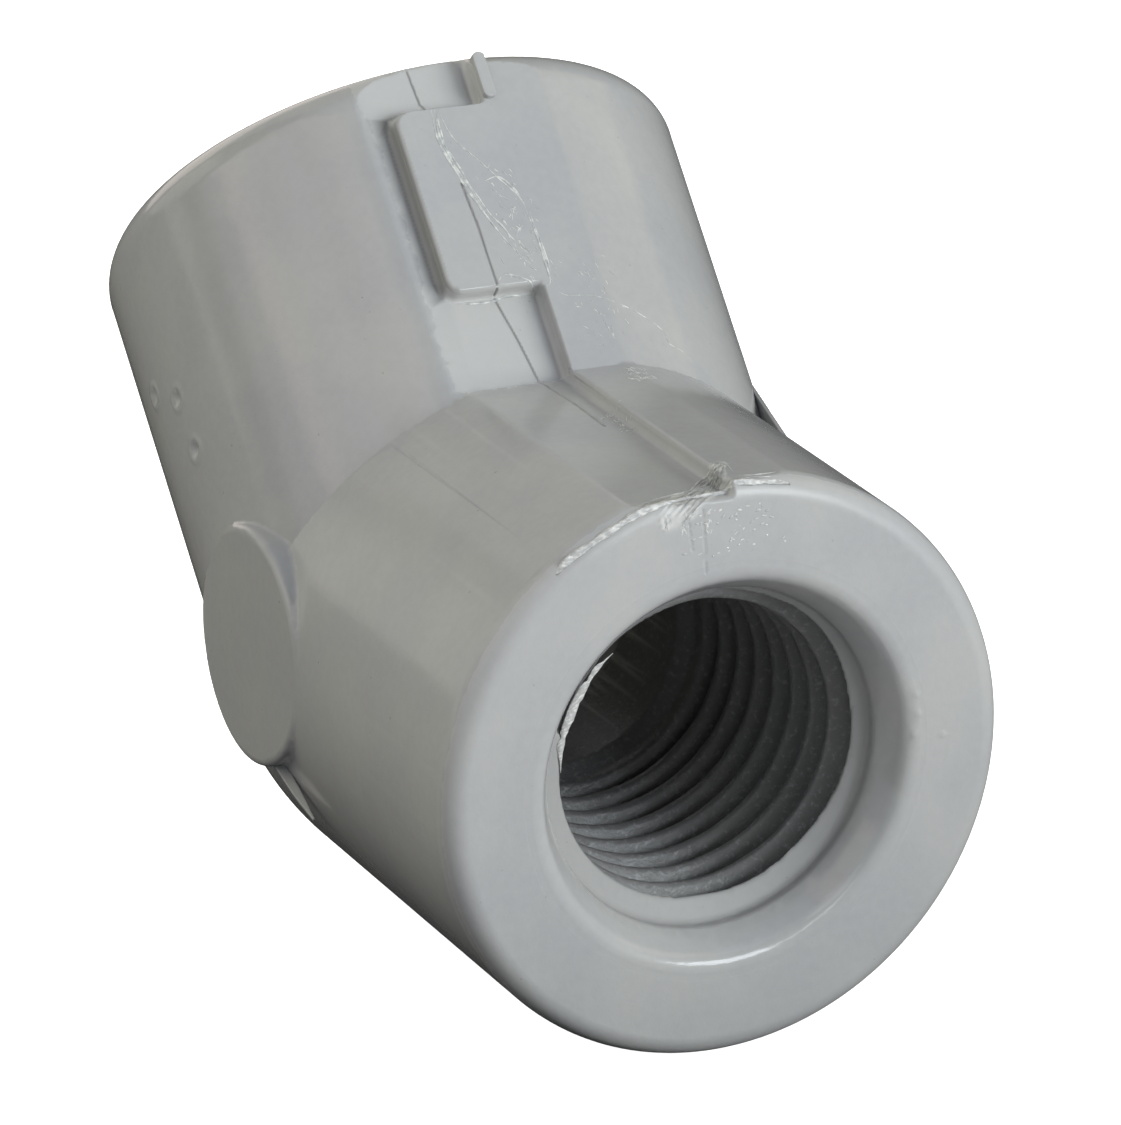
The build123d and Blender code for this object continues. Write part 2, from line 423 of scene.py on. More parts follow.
def remeshed(node, name, voxel, rounds):
    """A copy of a CAD node's mesh, rebuilt from voxels and then smoothed."""
    copy = link(bpy.data.objects.new(name, frame["nodes"][node].data.copy()))
    remesh = copy.modifiers.new("remesh", "REMESH")
    remesh.mode = "VOXEL"
    remesh.voxel_size = voxel * MM
    smooth(copy, rounds)
    return applied(copy, name)


def moulding():
    """The body: the exact solid meshed fine enough to carry its scars, which are then carved in."""
    body = remeshed("elbow_body", "moulding", VOXEL, 2)
    smooth(body, 5, group_of(body, "soft", soft_zone(read_points(body.data))))
    body = applied(body, "moulding")

    split_finer(body.data, fine_zone)
    split_finer(body.data, along_lines)
    points, normals = read_points(body.data), read_normals(body.data)
    points, normals = snapped(points, normals, 0)
    write_points(body.data, points + carve(points)[:, None] * normals)

    body.vertex_groups.clear()
    thin = body.modifiers.new("thin", "DECIMATE")
    body.data.calc_loop_triangles()
    thin.ratio = MOST_TRIANGLES / len(body.data.loop_triangles)
    thin.vertex_group = group_of(body, "loose", ~fine_zone(points))
    body = applied(body, "moulding")
    body.vertex_groups.clear()

    points, normals = read_points(body.data), read_normals(body.data)
    carved = smoothstep(0.002, 0.006, np.abs(carve(points)))
    points, normals = snapped(points, normals, carved)
    write_points(body.data, points)
    body.data.shade_smooth()
    body.data.normals_split_custom_set_from_vertices(normals.tolist())
    return body


def pad_corner_shade(points):
    """Painted shade in the corner beside the pad: a band up its left wall."""
    x, along, out = points[:, 0], OUTLET.along(points), OUTLET.out(points)
    beside = smoothstep(PAD_START - 0.3, PAD_START, along) * smoothstep(PAD_END + 0.3, PAD_END, along)
    wall = smoothstep(-0.36, -0.22, x - PAD_LEFT) * smoothstep(0.12, -0.02, x - PAD_LEFT) * beside
    low_enough = smoothstep(RIGHT_LAND - 0.02, RIGHT_LAND - 0.12, out) * (out > 9)
    return wall * low_enough


def inside_mouths(points, radius, level):
    """1 inside either mouth, nearer the axis than the radius and deeper than the level, faded there."""
    inside = np.zeros(len(points))
    for hub in HUBS:
        along = hub.along(points)
        near_axis = (hub.spokes(points)[1] < radius) & (along > 0)
        inside = np.maximum(inside, near_axis * smoothstep(level, level - 0.3, along))
    return inside


def store(mesh, name, values):
    """Keeps a number per vertex under a name that the material reads."""
    attribute = mesh.attributes.new(name, "FLOAT", "POINT")
    attribute.data.foreach_set("value", values.astype(np.float32))


# Pieces that lie on the moulding

def on_skin(tree, points, direction):
    """The places and normals where rays along the direction meet the moulding above the points."""
    way = Vector(direction).normalized()
    places, normals = [], []
    for point in np.asarray(points, float):
        start = Vector(point * MM) - way * (6 * MM)
        place, normal, _, _ = tree.ray_cast(start, way, 12 * MM)
        if place is None:
            place, normal = Vector(point * MM), -way
        places.append(np.array(place) / MM)
        normals.append(np.array(normal))
    return np.array(places), np.array(normals)


class Mesher:
    """Gathers closed tubes and strips into one mesh."""

    def __init__(self):
        self.points = []
        self.faces = []
        self.count = 0

    def rings(self, rings):
        """A skin through rings of equal size, closed at both ends."""
        rings = np.asarray(rings)
        steps, sides = rings.shape[:2]
        base = self.count
        self.points.append(rings.reshape(-1, 3))
        self.count += steps * sides
        for i in range(steps - 1):
            for j in range(sides):
                a, b = base + i * sides + j, base + i * sides + (j + 1) % sides
                self.faces.append((a, b, b + sides, a + sides))
        self.faces.append(tuple(range(base + sides - 1, base - 1, -1)))
        last = base + (steps - 1) * sides
        self.faces.append(tuple(range(last, last + sides)))

    def tube(self, path, normals, half_width, half_height, sides=6):
        """A flattened tube along the path; its half sizes may change along it."""
        path = np.asarray(path)
        forward = unit(np.gradient(path, axis=0))
        normals = unit(normals - (normals * forward).sum(1)[:, None] * forward)
        sideways = np.cross(forward, normals)
        turn = np.linspace(0, 2 * math.pi, sides, endpoint=False)
        wide = np.broadcast_to(half_width, len(path))[:, None, None]
        high = np.broadcast_to(half_height, len(path))[:, None, None]
        ring = path[:, None] + wide * np.cos(turn)[None, :, None] * sideways[:, None]
        ring = ring + high * np.sin(turn)[None, :, None] * normals[:, None]
        self.rings(ring)

    def object(self, name, material):
        mesh = bpy.data.meshes.new(name)
        points = np.vstack(self.points) * MM
        mesh.from_pydata(points.tolist(), [], self.faces)
        mesh.validate()
        mesh.shade_smooth()
        mesh.materials.append(material)
        return link(bpy.data.objects.new(name, mesh))


def taper(count, ends=0.25):
    """A factor along a tube: 0.12 at both ends, and 1 between."""
    t = np.linspace(0, 1, count)
    return 0.12 + 0.88 * smoothstep(0, ends, t) * smoothstep(1, 1 - ends, t)


# Residue on the outlet's inner side, and one painted highlight: a path as x and distance along the outlet,
# its width, and its strands
STRANDS = [
    ([(-2.0, 16.2), (-2.2, 14.5), (-1.85, 12.9), (-1.2, 11.0), (-0.5, 9.5), (-0.15, 9.0)], 0.09, 5),
    ([(-2.0, 16.2), (-1.7, 14.6), (-1.0, 13.5), (0.1, 11.8), (0.3, 11.2)], 0.02, 2),
    ([(0.3, 11.2), (0.38, 9.9), (0.34, 8.3), (0.15, 8.0)], 0.06, 3),
    ([(-1.8, 8.3), (-1.45, 8.7), (-0.8, 8.5), (0.0, 7.95)], 0.02, 1),
    # A painted highlight: a pale strand along the pad's lower edge
    ([(-3.3, 8.08), (-2.2, 8.0), (-1.1, 8.12), (-0.3, 8.0)], 0.035, 1),
    ([(-1.0, 12.6), (-0.4, 12.7), (0.05, 12.1), (0.2, 11.6)], 0.035, 3),
    ([(-0.1, 10.6), (-0.45, 10.2), (-0.2, 9.6), (0.3, 9.3)], 0.04, 3),
    ([(0.34, 8.3), (0.6, 7.6), (1.7, 7.4), (3.3, 6.7), (4.4, 5.9), (4.5, 5.4), (5.1, 5.1), (5.7, 4.5)],
     0.014, 1),
]

# Patches of crumbs: the hub, the ranges of x and of the distance along it, and how many
CRUMB_PATCHES = [
    (OUTLET, (-1.4, 0.9), (8.3, 13.2), 90),
    (OUTLET, (0.3, 3.4), (5.2, 9.0), 60),
    (OUTLET, (1.5, 2.7), (3.1, 4.2), 70),
    (INLET, (-0.8, 0.1), (8.2, 10.4), 50),
]


def residue(tree, material):
    """Pale dried strands and crumbs on the inner side, nearly all of them on the outlet; one pale strand on
    the pad's lower edge is a painted highlight.
    """
    random = np.random.default_rng(5)
    mesher = Mesher()
    for knots, width, copies in STRANDS:
        for copy in range(copies):
            flat = smooth_curve(knots, 0.07)
            stray = value_noise(np.c_[flat, np.full(len(flat), 9.0 * copy)], 0.7, 21)
            flat[:, 0] += 1.1 * width * (copy - (copies - 1) / 2) * (0.6 + 0.4 * stray) + 0.05 * stray
            if copies > 1:
                a, b = sorted(random.uniform(0, 1, 2))
                a, b = (0, 1) if copy == 0 else (0.6 * a, 0.4 + 0.6 * b)
                flat = flat[int(a * len(flat)):max(int(b * len(flat)), int(a * len(flat)) + 6)]
            spots = [OUTLET.at(x, along, HUB_RADIUS) for x, along in flat]
            places, normals = on_skin(tree, spots, -OUTLET.inner)
            size = 1.5 * width / (1 + 0.7 * (copies - 1)) * taper(len(flat))
            size = size * (1 + 0.7 * value_noise(places, 0.25, 22))
            mesher.tube(places, normals, size, 0.5 * size)
    for patch in CRUMB_PATCHES:
        crumbs(mesher, tree, random, *patch)
    return mesher.object("residue_and_highlight_strands", material)


def crumbs(mesher, tree, random, hub, x_range, along_range, count):
    """Short scuffed fibres in a patch, closest together at the middle of its width."""
    for _ in range(count):
        x = random.triangular(x_range[0], sum(x_range) / 2, x_range[1])
        along = random.uniform(*along_range)
        heading = random.normal(-1.1, 0.5)
        length = random.uniform(0.08, 0.35)
        steps = np.linspace(-0.5, 0.5, 5)[:, None] * length
        flat = np.array([x, along]) + steps * np.array([math.cos(heading), math.sin(heading)])
        places, normals = on_skin(tree, [hub.at(a, b, HUB_RADIUS) for a, b in flat], -hub.inner)
        size = random.uniform(0.01, 0.03) * taper(5, 0.4)
        mesher.tube(places, normals, size, 0.5 * size, 5)


def rim_fin(tree, material):
    """The torn fin along the inlet's rim: low along its left part, and highest by the parting plane."""
    mesher = Mesher()
    angles = np.arange(-39.5, 12.0, 0.12)
    noise_at = np.c_[angles, np.zeros(len(angles)), np.zeros(len(angles))]
    ragged = 0.5 * value_noise(noise_at, 3.0, 31) + 0.3 * value_noise(noise_at, 0.9, 32)
    ends = smoothstep(-39.5, -36.5, angles) * smoothstep(12.0, 5.0, angles)
    tall = ends * (0.08 + 0.06 * smoothstep(-16, -6, angles) * smoothstep(7, 3, angles))
    tall *= 1 + 0.6 * ragged
    tall += 0.14 * bell(angles + 36.5, 1.0)
    turn = np.radians(angles)
    spoke = np.c_[np.sin(turn), np.zeros(len(turn)), np.cos(turn)]
    outer = unit(spoke + np.array([0, -0.55, 0]))
    wander = 0.05 * value_noise(noise_at, 5.0, 33)
    start = spoke * (HUB_RADIUS - 0.12) + np.array([0, 0.22, 0]) + wander[:, None] * np.array([0, 1, 0])
    places, _ = on_skin_each(tree, start, -outer)
    across = unit(np.cross(outer, np.c_[np.cos(turn), np.zeros(len(turn)), -np.sin(turn)]))
    profile = [(-0.17, -0.05), (-0.1, 0.12), (-0.05, 0.55), (-0.01, 1.0), (0.03, 0.9), (0.08, 0.4)]
    profile += [(0.17, -0.05)]
    rings = []
    for at, up, side, high, jag in zip(places, outer, across, tall, ragged):
        ring = [at + side * (wide * (1 + 0.4 * jag)) + up * (high * rise - 0.01) for wide, rise in profile]
        rings.append(ring)
    mesher.rings(rings)
    return mesher.object("rim_fin", material)


def on_skin_each(tree, points, directions):
    """Like on_skin, with a direction of its own for each point."""
    pairs = [on_skin(tree, point[None], way) for point, way in zip(points, directions)]
    return np.vstack([place for place, _ in pairs]), np.vstack([normal for _, normal in pairs])


# Single lines by the tear: the pale crest above it, its two tails, and the rim of the knob
TEAR_LINES = [
    [(-3.4, 0.6, 10.4), (-2.4, 0.75, 10.7), (-1.2, 0.9, 10.8), (-0.2, 1.2, 10.9)],
    [(0.3, 0.9, 10.9), (1.0, 0.75, 10.8), (1.9, 0.8, 10.7)],
    [(0.4, 0.7, 10.8), (1.1, 0.55, 10.7), (1.8, 0.6, 10.6)],
    [(0.1, 1.6, 10.9), (0.3, 2.1, 11.0), (0.5, 2.2, 11.0), (0.6, 1.8, 11.0), (0.5, 1.2, 10.9)],
]


def rim_fibres(tree, material):
    """The parallel fibres of the tear, the knob where they end, and two thin tails beyond it."""
    random = np.random.default_rng(8)
    mesher = Mesher()
    look = np.array([0.0, 0.62, -0.78])
    middle = smooth_curve(TEAR, 0.1)
    for _ in range(110):
        first = random.integers(0, len(middle) - 10)
        last = min(len(middle), first + random.integers(9, 24))
        run = middle[first:last]
        aside = random.uniform(-0.42, 0.42) * (1 - 0.5 * smoothstep(-0.6, 0.4, run[:, :1]))
        flat = run + aside * ACROSS
        places, normals = on_skin(tree, flat, look)
        count = len(flat)
        bow = np.abs(np.linspace(-1, 1, count)) ** 3
        lift = random.uniform(0.0, 0.03) + random.uniform(0, 0.06) * bow
        size = random.uniform(0.008, 0.02) * taper(count, 0.3)
        mesher.tube(places + normals * lift[:, None], normals, size, 0.7 * size, 5)
    for knots in TEAR_LINES:
        flat = smooth_curve(knots, 0.08)
        places, normals = on_skin(tree, flat, look)
        size = 0.022 * taper(len(flat), 0.4) * (1 + 0.5 * value_noise(places, 0.3, 9))
        mesher.tube(places + normals * 0.01, normals, size, size, 6)
    return mesher.object("rim_fibres", material)


def face_flecks(tree, material):
    """Small pale flecks on the inlet's face below the tear: scattered ones, and three streaks of them."""
    random = np.random.default_rng(12)
    mesher = Mesher()
    for _ in range(60):
        x = random.triangular(-2.3, 0.2, 2.2)
        z = random.uniform(8.3, 10.1)
        fleck(mesher, tree, random, (x, z), 0.25, random.uniform(0.08, 0.22), random.uniform(0.02, 0.05))
    streaks = ((-2.65, 9.5, 10.1), (-2.0, 9.3, 10.1), (-1.05, 9.2, 10.1))
    for x, z_from, z_to in streaks:
        for _ in range(26):
            spot = (x + random.normal(0, 0.08), random.uniform(z_from, z_to))
            fleck(mesher, tree, random, spot, 1.75, random.uniform(0.1, 0.25), random.uniform(0.01, 0.022))
    return mesher.object("face_flecks", material)


def fleck(mesher, tree, random, spot, heading, length, width):
    """A short raised fibre on the inlet's face at an x and z."""
    heading = heading + random.normal(0, 0.3)
    steps = np.linspace(-0.5, 0.5, 5)[:, None] * length
    flat = np.array([spot[0], 0, spot[1]]) + steps * np.array([math.cos(heading), 0, math.sin(heading)])
    places, normals = on_skin(tree, flat, (0, 1, 0))
    size = width * taper(5, 0.4)
    mesher.tube(places, normals, size, 0.4 * size, 6)


def lip_skin(material):
    """The ragged skin that reaches in over the first thread at the left of the inlet's mouth."""
    mesher = Mesher()
    angles = np.arange(-90.0, -40.0, 0.5)
    turn = np.radians(angles)
    noise_at = np.c_[angles, np.zeros(len(angles)), np.zeros(len(angles))]
    ragged = 0.5 + 0.5 * value_noise(noise_at, 4.0, 41) + 0.3 * value_noise(noise_at, 1.2, 42)
    ends = smoothstep(-90, -78, angles) * smoothstep(-40, -52, angles)
    reach = 0.01 + 0.1 * np.clip(ragged, 0, 1.2) * ends
    level = 2.17 + 0.03 * value_noise(noise_at, 5.0, 43)
    rings = []
    edges = 0.02 + 0.28 * ends * np.clip(0.7 + ragged, 0.3, 1.2)
    for angle, deep, y, edge in zip(turn, reach, level, edges):
        spoke = np.array([math.sin(angle), 0, math.cos(angle)])
        top = [(edge, -0.5 * edge), (0.0, 0.0), (-deep, 0.0)]
        under = [(-deep, -0.015), (0.0, -0.03), (edge, -0.5 * edge - 0.02)]
        rings.append([spoke * (CREST_RADIUS + wide) + np.array([0, y + rise, 0])
                      for wide, rise in top + under])
    mesher.rings(rings)
    return mesher.object("lip_skin", material)


# Small CAD nodes whose edges are only worn round: node, slot, voxel size and rounds of smoothing
SMALL_PIECES = [
    ("gate_stub", "torn_pvc", 0.04, 6),
    ("bend_fin", "grey_pvc", 0.03, 4),
    ("crease_web", "grey_pvc", 0.03, 3),
]


# Materials

class Nodes:
    """Short names for the shader nodes that the materials share. Sizes are in millimetres."""

    def __init__(self, name):
        self.material = bpy.data.materials.new(name)
        self.material.use_nodes = True
        self.tree = self.material.node_tree
        self.shader = self.tree.nodes["Principled BSDF"]
        place = self.tree.nodes.new("ShaderNodeTexCoord").outputs["Object"]
        scale = self.add("ShaderNodeVectorMath", "SCALE")
        self.join(place, scale.inputs[0])
        scale.inputs["Scale"].default_value = 1 / MM
        self.place = scale.outputs[0]

    def add(self, kind, operation=None):
        node = self.tree.nodes.new(kind)
        if operation:
            node.operation = operation
        return node

    def join(self, source, socket):
        """Links an output to a socket, or sets the socket if the source is a plain value."""
        if hasattr(source, "is_linked"):
            self.tree.links.new(source, socket)
        else:
            socket.default_value = source

    def math(self, operation, a, b=0.0):
        node = self.add("ShaderNodeMath", operation)
        self.join(a, node.inputs[0])
        self.join(b, node.inputs[1])
        return node.outputs[0]

    def dot(self, direction, offset=0.0):
        """The place measured along a direction, less an offset."""
        node = self.add("ShaderNodeVectorMath", "DOT_PRODUCT")
        self.join(self.place, node.inputs[0])
        node.inputs[1].default_value = direction
        return self.math("SUBTRACT", node.outputs["Value"], offset)

    def step(self, value, low, high):
        """0 at low, 1 at high, smooth between; low may be above high."""
        node = self.add("ShaderNodeMapRange")
        node.interpolation_type = "SMOOTHSTEP"
        self.join(value, node.inputs["Value"])
        self.join(low, node.inputs["From Min"])
        self.join(high, node.inputs["From Max"])
        return node.outputs["Result"]

    def noise(self, size, detail=2.0, stretch=None, roughness=0.5):
        node = self.add("ShaderNodeTexNoise")
        place = self.place
        if stretch:
            mapping = self.add("ShaderNodeMapping")
            self.join(place, mapping.inputs["Vector"])
            mapping.inputs["Scale"].default_value = stretch
            place = mapping.outputs[0]
        self.join(place, node.inputs["Vector"])
        node.inputs["Scale"].default_value = 1 / size
        node.inputs["Detail"].default_value = detail
        node.inputs["Roughness"].default_value = roughness
        return node.outputs["Fac"]

    def mix(self, factor, a, b):
        """Mixes two colours. A mix node has its colour sockets at these places."""
        node = self.add("ShaderNodeMix")
        node.data_type = "RGBA"
        self.join(factor, node.inputs["Factor"])
        self.join(a, node.inputs[6])
        self.join(b, node.inputs[7])
        return node.outputs[2]

    def blend(self, factor, a, b):
        """Mixes two numbers."""
        node = self.add("ShaderNodeMix")
        self.join(factor, node.inputs["Factor"])
        self.join(a, node.inputs["A"])
        self.join(b, node.inputs["B"])
        return node.outputs[0]

    def attribute(self, name):
        node = self.add("ShaderNodeAttribute")
        node.attribute_name = name
        return node.outputs["Fac"]

    def bump(self, height, distance):
        """A bump as high as the distance in millimetres, added to the bumps before it."""
        node = self.add("ShaderNodeBump")
        node.inputs["Strength"].default_value = 1.0
        node.inputs["Distance"].default_value = distance * MM
        self.join(height, node.inputs["Height"])
        if self.shader.inputs["Normal"].is_linked:
            before = self.shader.inputs["Normal"].links[0].from_socket
            self.join(before, node.inputs["Normal"])
        self.join(node.outputs[0], self.shader.inputs["Normal"])

    def finish(self, colour, roughness):
        self.join(colour, self.shader.inputs["Base Color"])
        self.join(roughness, self.shader.inputs["Roughness"])
        return self.material


def frost_mask(nodes):
    """Frosted places: round the gate, and on the outlet's left land between the pad and the crease."""
    along = nodes.dot(OUTLET.axis, float(BEND @ OUTLET.axis))
    out = nodes.dot(OUTLET.inner, float(BEND @ OUTLET.inner))
    ragged = nodes.math("SUBTRACT", nodes.noise(0.7, 4.0), 0.5)
    x = nodes.math("ADD", nodes.dot((1, 0, 0)), nodes.math("MULTIPLY", ragged, 1.0))
    along_ragged = nodes.math("ADD", along, nodes.math("MULTIPLY", ragged, 0.6))
    top = nodes.step(out, 9.0, 9.4)
    left_edge = nodes.blend(nodes.step(along, 13.0, 18.0), -4.0, -4.7)
    inside = nodes.step(nodes.math("SUBTRACT", x, left_edge), -0.25, 0.3)
    beside = nodes.step(nodes.dot((1, 0, 0)), 0.02, -0.02)
    off_pad = nodes.math("SUBTRACT", 1.0, nodes.step(out, 10.5, 10.75))
    gate = nodes.math("MULTIPLY", inside, nodes.step(along_ragged, 15.7, 16.2))
    land = nodes.math("MULTIPLY", nodes.step(x, -4.6, -4.2), nodes.step(along_ragged, 4.2, 4.7))
    both = nodes.math("MAXIMUM", gate, land)
    both = nodes.math("MULTIPLY", both, beside)
    both = nodes.math("MULTIPLY", both, off_pad)
    return nodes.math("MULTIPLY", both, top)


def grey_pvc():
    """Glossy grey moulding: faint mottling and orange peel, frosted by the gate, with painted shade in the
    bores, the mouths, the witness groove and the pad's corner, and painted glints on the threads.
    """
    nodes = Nodes("grey_pvc")
    frost = frost_mask(nodes)
    across_squared = nodes.math("POWER", nodes.dot((1, 0, 0)), 2.0)
    up_squared = nodes.math("POWER", nodes.dot((0, 0, 1)), 2.0)
    radius = nodes.math("SQRT", nodes.math("ADD", across_squared, up_squared))
    face = nodes.step(nodes.dot((0, 1, 0)), 1.1, 0.3)
    face = nodes.math("MULTIPLY", face, nodes.step(radius, 7.8, 8.1))
    torn = nodes.attribute("torn")
    bore = nodes.attribute("bore")
    groove = nodes.attribute("groove")
    mouth = nodes.attribute("mouth")
    corner_shade = nodes.attribute("corner_shade")
    mottle = nodes.step(nodes.noise(5.0, 3.0), 0.35, 0.65)
    colour = nodes.mix(mottle, COOL_GREY, WARM_GREY)
    grain = nodes.step(nodes.noise(0.35, 4.0), 0.3, 0.7)
    colour = nodes.mix(nodes.math("MULTIPLY", grain, 0.08), colour, FROST_GREY)
    colour = nodes.mix(nodes.math("MULTIPLY", frost, 0.4), colour, FROST_GREY)
    # Painted shade: the bores darkened strongly deep inside
    colour = nodes.mix(nodes.math("MULTIPLY", bore, 0.55), colour, PAINTED_SHADE_BLACK)
    # Painted shade: the mouths darkened a little from just inside their lips
    colour = nodes.mix(nodes.math("MULTIPLY", mouth, 0.25), colour, PAINTED_SHADE_BLACK)
    # Painted glints: pale flecks on the threads
    flecks = nodes.math("MULTIPLY", bore, nodes.step(nodes.noise(0.22, 5.0, None, 0.7), 0.52, 0.7))
    colour = nodes.mix(nodes.math("MULTIPLY", flecks, 0.2), colour, THREAD_GLINT)
    # Painted shade in the groove of the witness line
    colour = nodes.mix(nodes.math("MULTIPLY", groove, 0.92), colour, PAINTED_SHADE_BLACK)
    # Painted shade up the pad's left wall, in its corner
    colour = nodes.mix(nodes.math("MULTIPLY", corner_shade, 0.62), colour, CORNER_SHADE)
    white = nodes.math("MULTIPLY", torn, nodes.blend(nodes.noise(0.25, 3.0), 0.1, 0.6))
    colour = nodes.mix(white, colour, TORN_PALE)
    specks = nodes.math("MULTIPLY", nodes.step(nodes.noise(0.16, 0.0), 0.86, 0.9), 0.4)
    colour = nodes.mix(specks, colour, DARK_SPECK)
    rough = nodes.blend(nodes.noise(0.8, 3.0), 0.09, 0.16)
    rough = nodes.blend(face, rough, nodes.blend(nodes.noise(0.5, 3.0), 0.26, 0.38))
    rough = nodes.blend(frost, rough, 0.42)
    rough = nodes.blend(torn, rough, 0.5)
    rough = nodes.blend(mouth, rough, 0.5)
    rough = nodes.blend(bore, rough, nodes.blend(nodes.noise(0.2, 3.0), 0.25, 0.5))
    nodes.bump(nodes.noise(1.6, 2.0), 0.012)
    nodes.bump(nodes.math("MULTIPLY", nodes.noise(0.45, 3.0), face), 0.012)
    nodes.bump(nodes.math("MULTIPLY", nodes.noise(0.12, 3.0), nodes.blend(bore, 0.1, 0.7)), 0.035)
    nodes.shader.inputs["IOR"].default_value = PVC_IOR
    return nodes.finish(colour, rough)


def torn_pvc():
    """Torn and scraped plastic: grey, and pale in streaks where it is thin."""
    nodes = Nodes("torn_pvc")
    streaks = nodes.step(nodes.noise(0.1, 4.0, (0.35, 1, 1)), 0.42, 0.7)
    colour = nodes.mix(streaks, (0.38, 0.38, 0.375, 1), (0.64, 0.64, 0.62, 1))
    nodes.bump(nodes.noise(0.08, 3.0), 0.02)
    return nodes.finish(colour, nodes.blend(streaks, 0.3, 0.5))


def residue_film():
    """Dried film: thin and shiny, only a little paler than what it lies on."""
    nodes = Nodes("residue_film")
    patches = nodes.step(nodes.noise(0.3, 3.0), 0.4, 0.7)
    colour = nodes.mix(patches, (0.40, 0.41, 0.41, 1), (0.66, 0.66, 0.63, 1))
    return nodes.finish(colour, nodes.blend(patches, 0.25, 0.4))


# Studio

def camera():
    data = bpy.data.cameras.new("camera")
    data.lens = LENS
    data.sensor_width = SENSOR
    data.clip_start = 0.01
    data.clip_end = 20
    obj = link(bpy.data.objects.new("camera", data))
    forward = Vector(CAMERA_LOOKS).normalized()
    right = forward.cross(Vector(CAMERA_UP)).normalized()
    up = right.cross(forward)
    turn = Matrix((right, up, -forward)).transposed().to_4x4()
    obj.matrix_world = Matrix.Translation(Vector(CAMERA_AT) * MM) @ turn
    bpy.context.scene.camera = obj


def floor(level):
    mesh = bpy.data.meshes.new("floor")
    corners = [(x * FLOOR_HALF, y * FLOOR_HALF, level) for x, y in ((-1, -1), (1, -1), (1, 1), (-1, 1))]
    mesh.from_pydata(corners, [], [(0, 1, 2, 3)])
    obj = link(bpy.data.objects.new("floor", mesh))
    nodes = Nodes("floor")
    tone = nodes.mix(nodes.noise(400.0), (0.86, 0.86, 0.86, 1), (0.9, 0.9, 0.9, 1))
    nodes.finish(tone, 0.9)
    glow(nodes, 0.95)
    mesh.materials.append(nodes.material)
    only_seen(obj)


def glow(nodes, strength):
    """Makes a material give white light of its own."""
    nodes.shader.inputs["Emission Color"].default_value = (1, 1, 1, 1)
    nodes.shader.inputs["Emission Strength"].default_value = strength


def only_seen(obj):
    """Stage dressing that the camera sees but that lights and mirrors nothing."""
    obj.visible_diffuse = False
    obj.visible_glossy = False
    obj.visible_shadow = False


def backdrop():
    """A white dome behind everything, for views from low down."""
    work = bmesh.new()
    bmesh.ops.create_icosphere(work, subdivisions=4, radius=BACKDROP_RADIUS)
    mesh = bpy.data.meshes.new("backdrop")
    work.to_mesh(mesh)
    work.free()
    nodes = Nodes("backdrop")
    nodes.finish(nodes.mix(nodes.noise(900.0), (0.9, 0.9, 0.9, 1), (0.93, 0.93, 0.93, 1)), 1.0)
    glow(nodes, 1.0)
    mesh.materials.append(nodes.material)
    only_seen(link(bpy.data.objects.new("backdrop", mesh)))


def softbox(name, at, size, watts, looks_at=PART_MIDDLE, mirrored=True):
    """A soft rectangular light; watts are for red, green and blue. Some aren't seen in reflections."""
    data = bpy.data.lights.new(name, "AREA")
    data.shape = "RECTANGLE"
    data.size, data.size_y = size
    data.energy = max(watts)
    data.color = [part / max(watts) for part in watts]
    obj = link(bpy.data.objects.new(name, data))
    obj.location = at
    obj.rotation_euler = (Vector(looks_at) - Vector(at)).to_track_quat("-Z", "Y").to_euler()
    obj.visible_camera = False
    obj.visible_glossy = mirrored


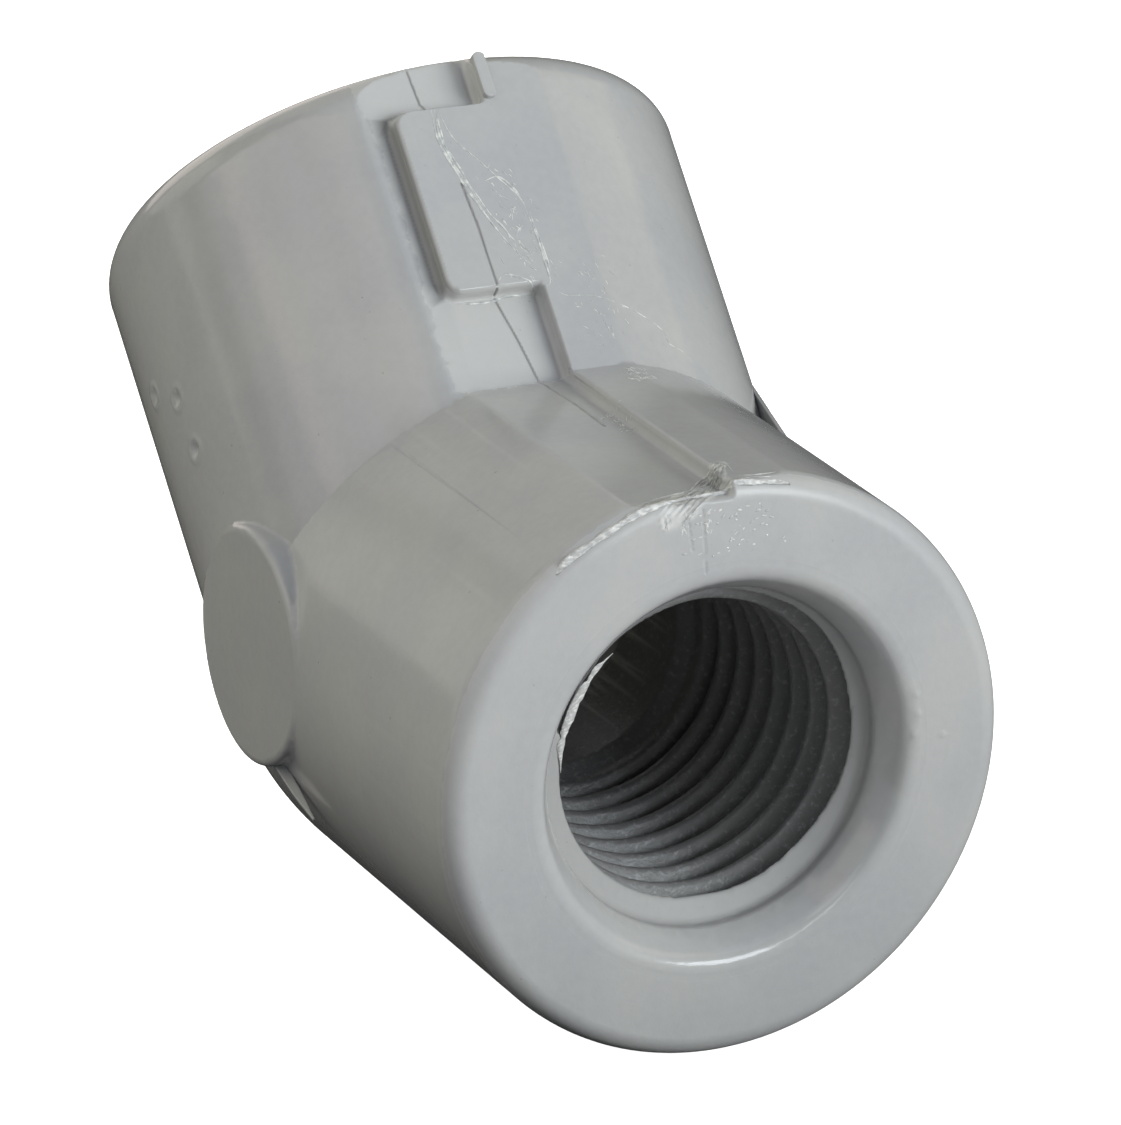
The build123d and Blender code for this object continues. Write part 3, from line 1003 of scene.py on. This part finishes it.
def studio():
    """A key on the right of the mouth, broad light from the left and above, and light for the far side."""
    softbox("front_right", (0.7, -0.75, 0.25), (0.6, 0.5), (9.8, 10.1, 10.1), mirrored=False)
    softbox("front_key", (0.45, -0.9, 0.4), (0.4, 0.4), (3.6, 3.9, 4.1))
    softbox("front_strip", (0.0, -0.95, 0.33), (0.65, 0.08), (0.6, 0.6, 0.6))
    softbox("left_wall", (-1.2, -0.2, 0.5), (1.6, 1.0), (1.6, 2.4, 2.3))
    softbox("left", (-1.0, 0.02, 0.25), (0.8, 0.5), (0.45, 0.2, 0.35))
    softbox("top", (0, 0.02, 1), (1, 1), (1.25, 1.5, 2.0))
    softbox("top_left", (-0.8, 0.02, 0.7), (0.8, 0.8), (2.2, 1.85, 1.7))
    softbox("top_back", (0, 0.85, 0.7), (0.8, 0.8), (1.1, 1.05, 1.05))
    softbox("top_back_left", (-0.6, 0.6, 0.6), (0.5, 0.5), (3.5, 3.6, 2.65), mirrored=False)
    softbox("top_right", (0.8, 0.02, 0.7), (0.8, 0.8), (1.1, 1.0, 0.6))
    softbox("top_front_left", (-0.5, -0.6, 0.75), (0.5, 0.5), (0.9, 0.9, 0.9))
    softbox("back", (0, 1, 0.2), (0.8, 0.4), (1.2, 1.05, 1.0))
    softbox("back_left", (-0.7, 0.75, 0.25), (0.6, 0.5), (0.55, 0.55, 0.5))
    softbox("back_right", (0.7, 0.75, 0.25), (0.6, 0.5), (0.45, 0.4, 0.35), mirrored=False)
    softbox("behind", (0.25, 0.95, -0.05), (0.8, 0.5), (7.0, 7.0, 7.0), mirrored=False)
    softbox("bounce_front", (0, -0.12, -0.011), (0.25, 0.2), (0.17, 0.17, 0.17), (0, -0.12, 1), False)
    softbox("bounce_left", (-0.14, -0.02, -0.011), (0.2, 0.2), (0.08, 0.08, 0.08), (-0.14, -0.02, 1), False)


def world():
    """A faint even light from all sides."""
    back = bpy.data.worlds.new("studio")
    back.use_nodes = True
    background = back.node_tree.nodes["Background"]
    background.inputs["Color"].default_value = (1, 1, 1, 1)
    background.inputs["Strength"].default_value = WORLD_STRENGTH
    bpy.context.scene.world = back


def coat(obj, material):
    """Makes a material the only one on a piece."""
    obj.data.materials.clear()
    obj.data.materials.append(material)


def wear(obj, node):
    """Makes a piece ride on the only body and stand for a node."""
    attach(obj, "root")
    if node:
        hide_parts(node)


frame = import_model()
cad_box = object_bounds()
camera()
floor(cad_box[0].z)
backdrop()
world()
studio()

pvc = grey_pvc()
torn = torn_pvc()
film = residue_film()

body = moulding()
coat(body, pvc)
skin = read_points(body.data)
store(body.data, "torn", torn_rim(skin))
# The groove's mask carries painted shade along the witness line
store(body.data, "groove", bell(gap_to_paths(skin, witness_paths()), 0.038))
# Painted shade in the corner beside the pad
store(body.data, "corner_shade", pad_corner_shade(skin))
# Mask of the painted shade deep in the bores
store(body.data, "bore", inside_mouths(skin, BORE_RADIUS, BORE_FROM))
# Mask of the painted shade under the mouths' lips
store(body.data, "mouth", inside_mouths(skin, MOUTH_RADIUS, MOUTH_FROM))
wear(body, "elbow_body")

tree = BVHTree.FromObject(body, bpy.context.evaluated_depsgraph_get())
wear(rim_fin(tree, torn), "rim_flash")
wear(rim_fibres(tree, torn), None)
wear(face_flecks(tree, film), None)
wear(lip_skin(torn), "lip_flash")
wear(residue(tree, film), None)
for node, slot, voxel, rounds in SMALL_PIECES:
    piece = remeshed(node, node + "_worn", voxel, rounds)
    piece.data.shade_smooth()
    coat(piece, pvc)
    wear(piece, node)

bpy.context.scene.view_settings.view_transform = "Standard"
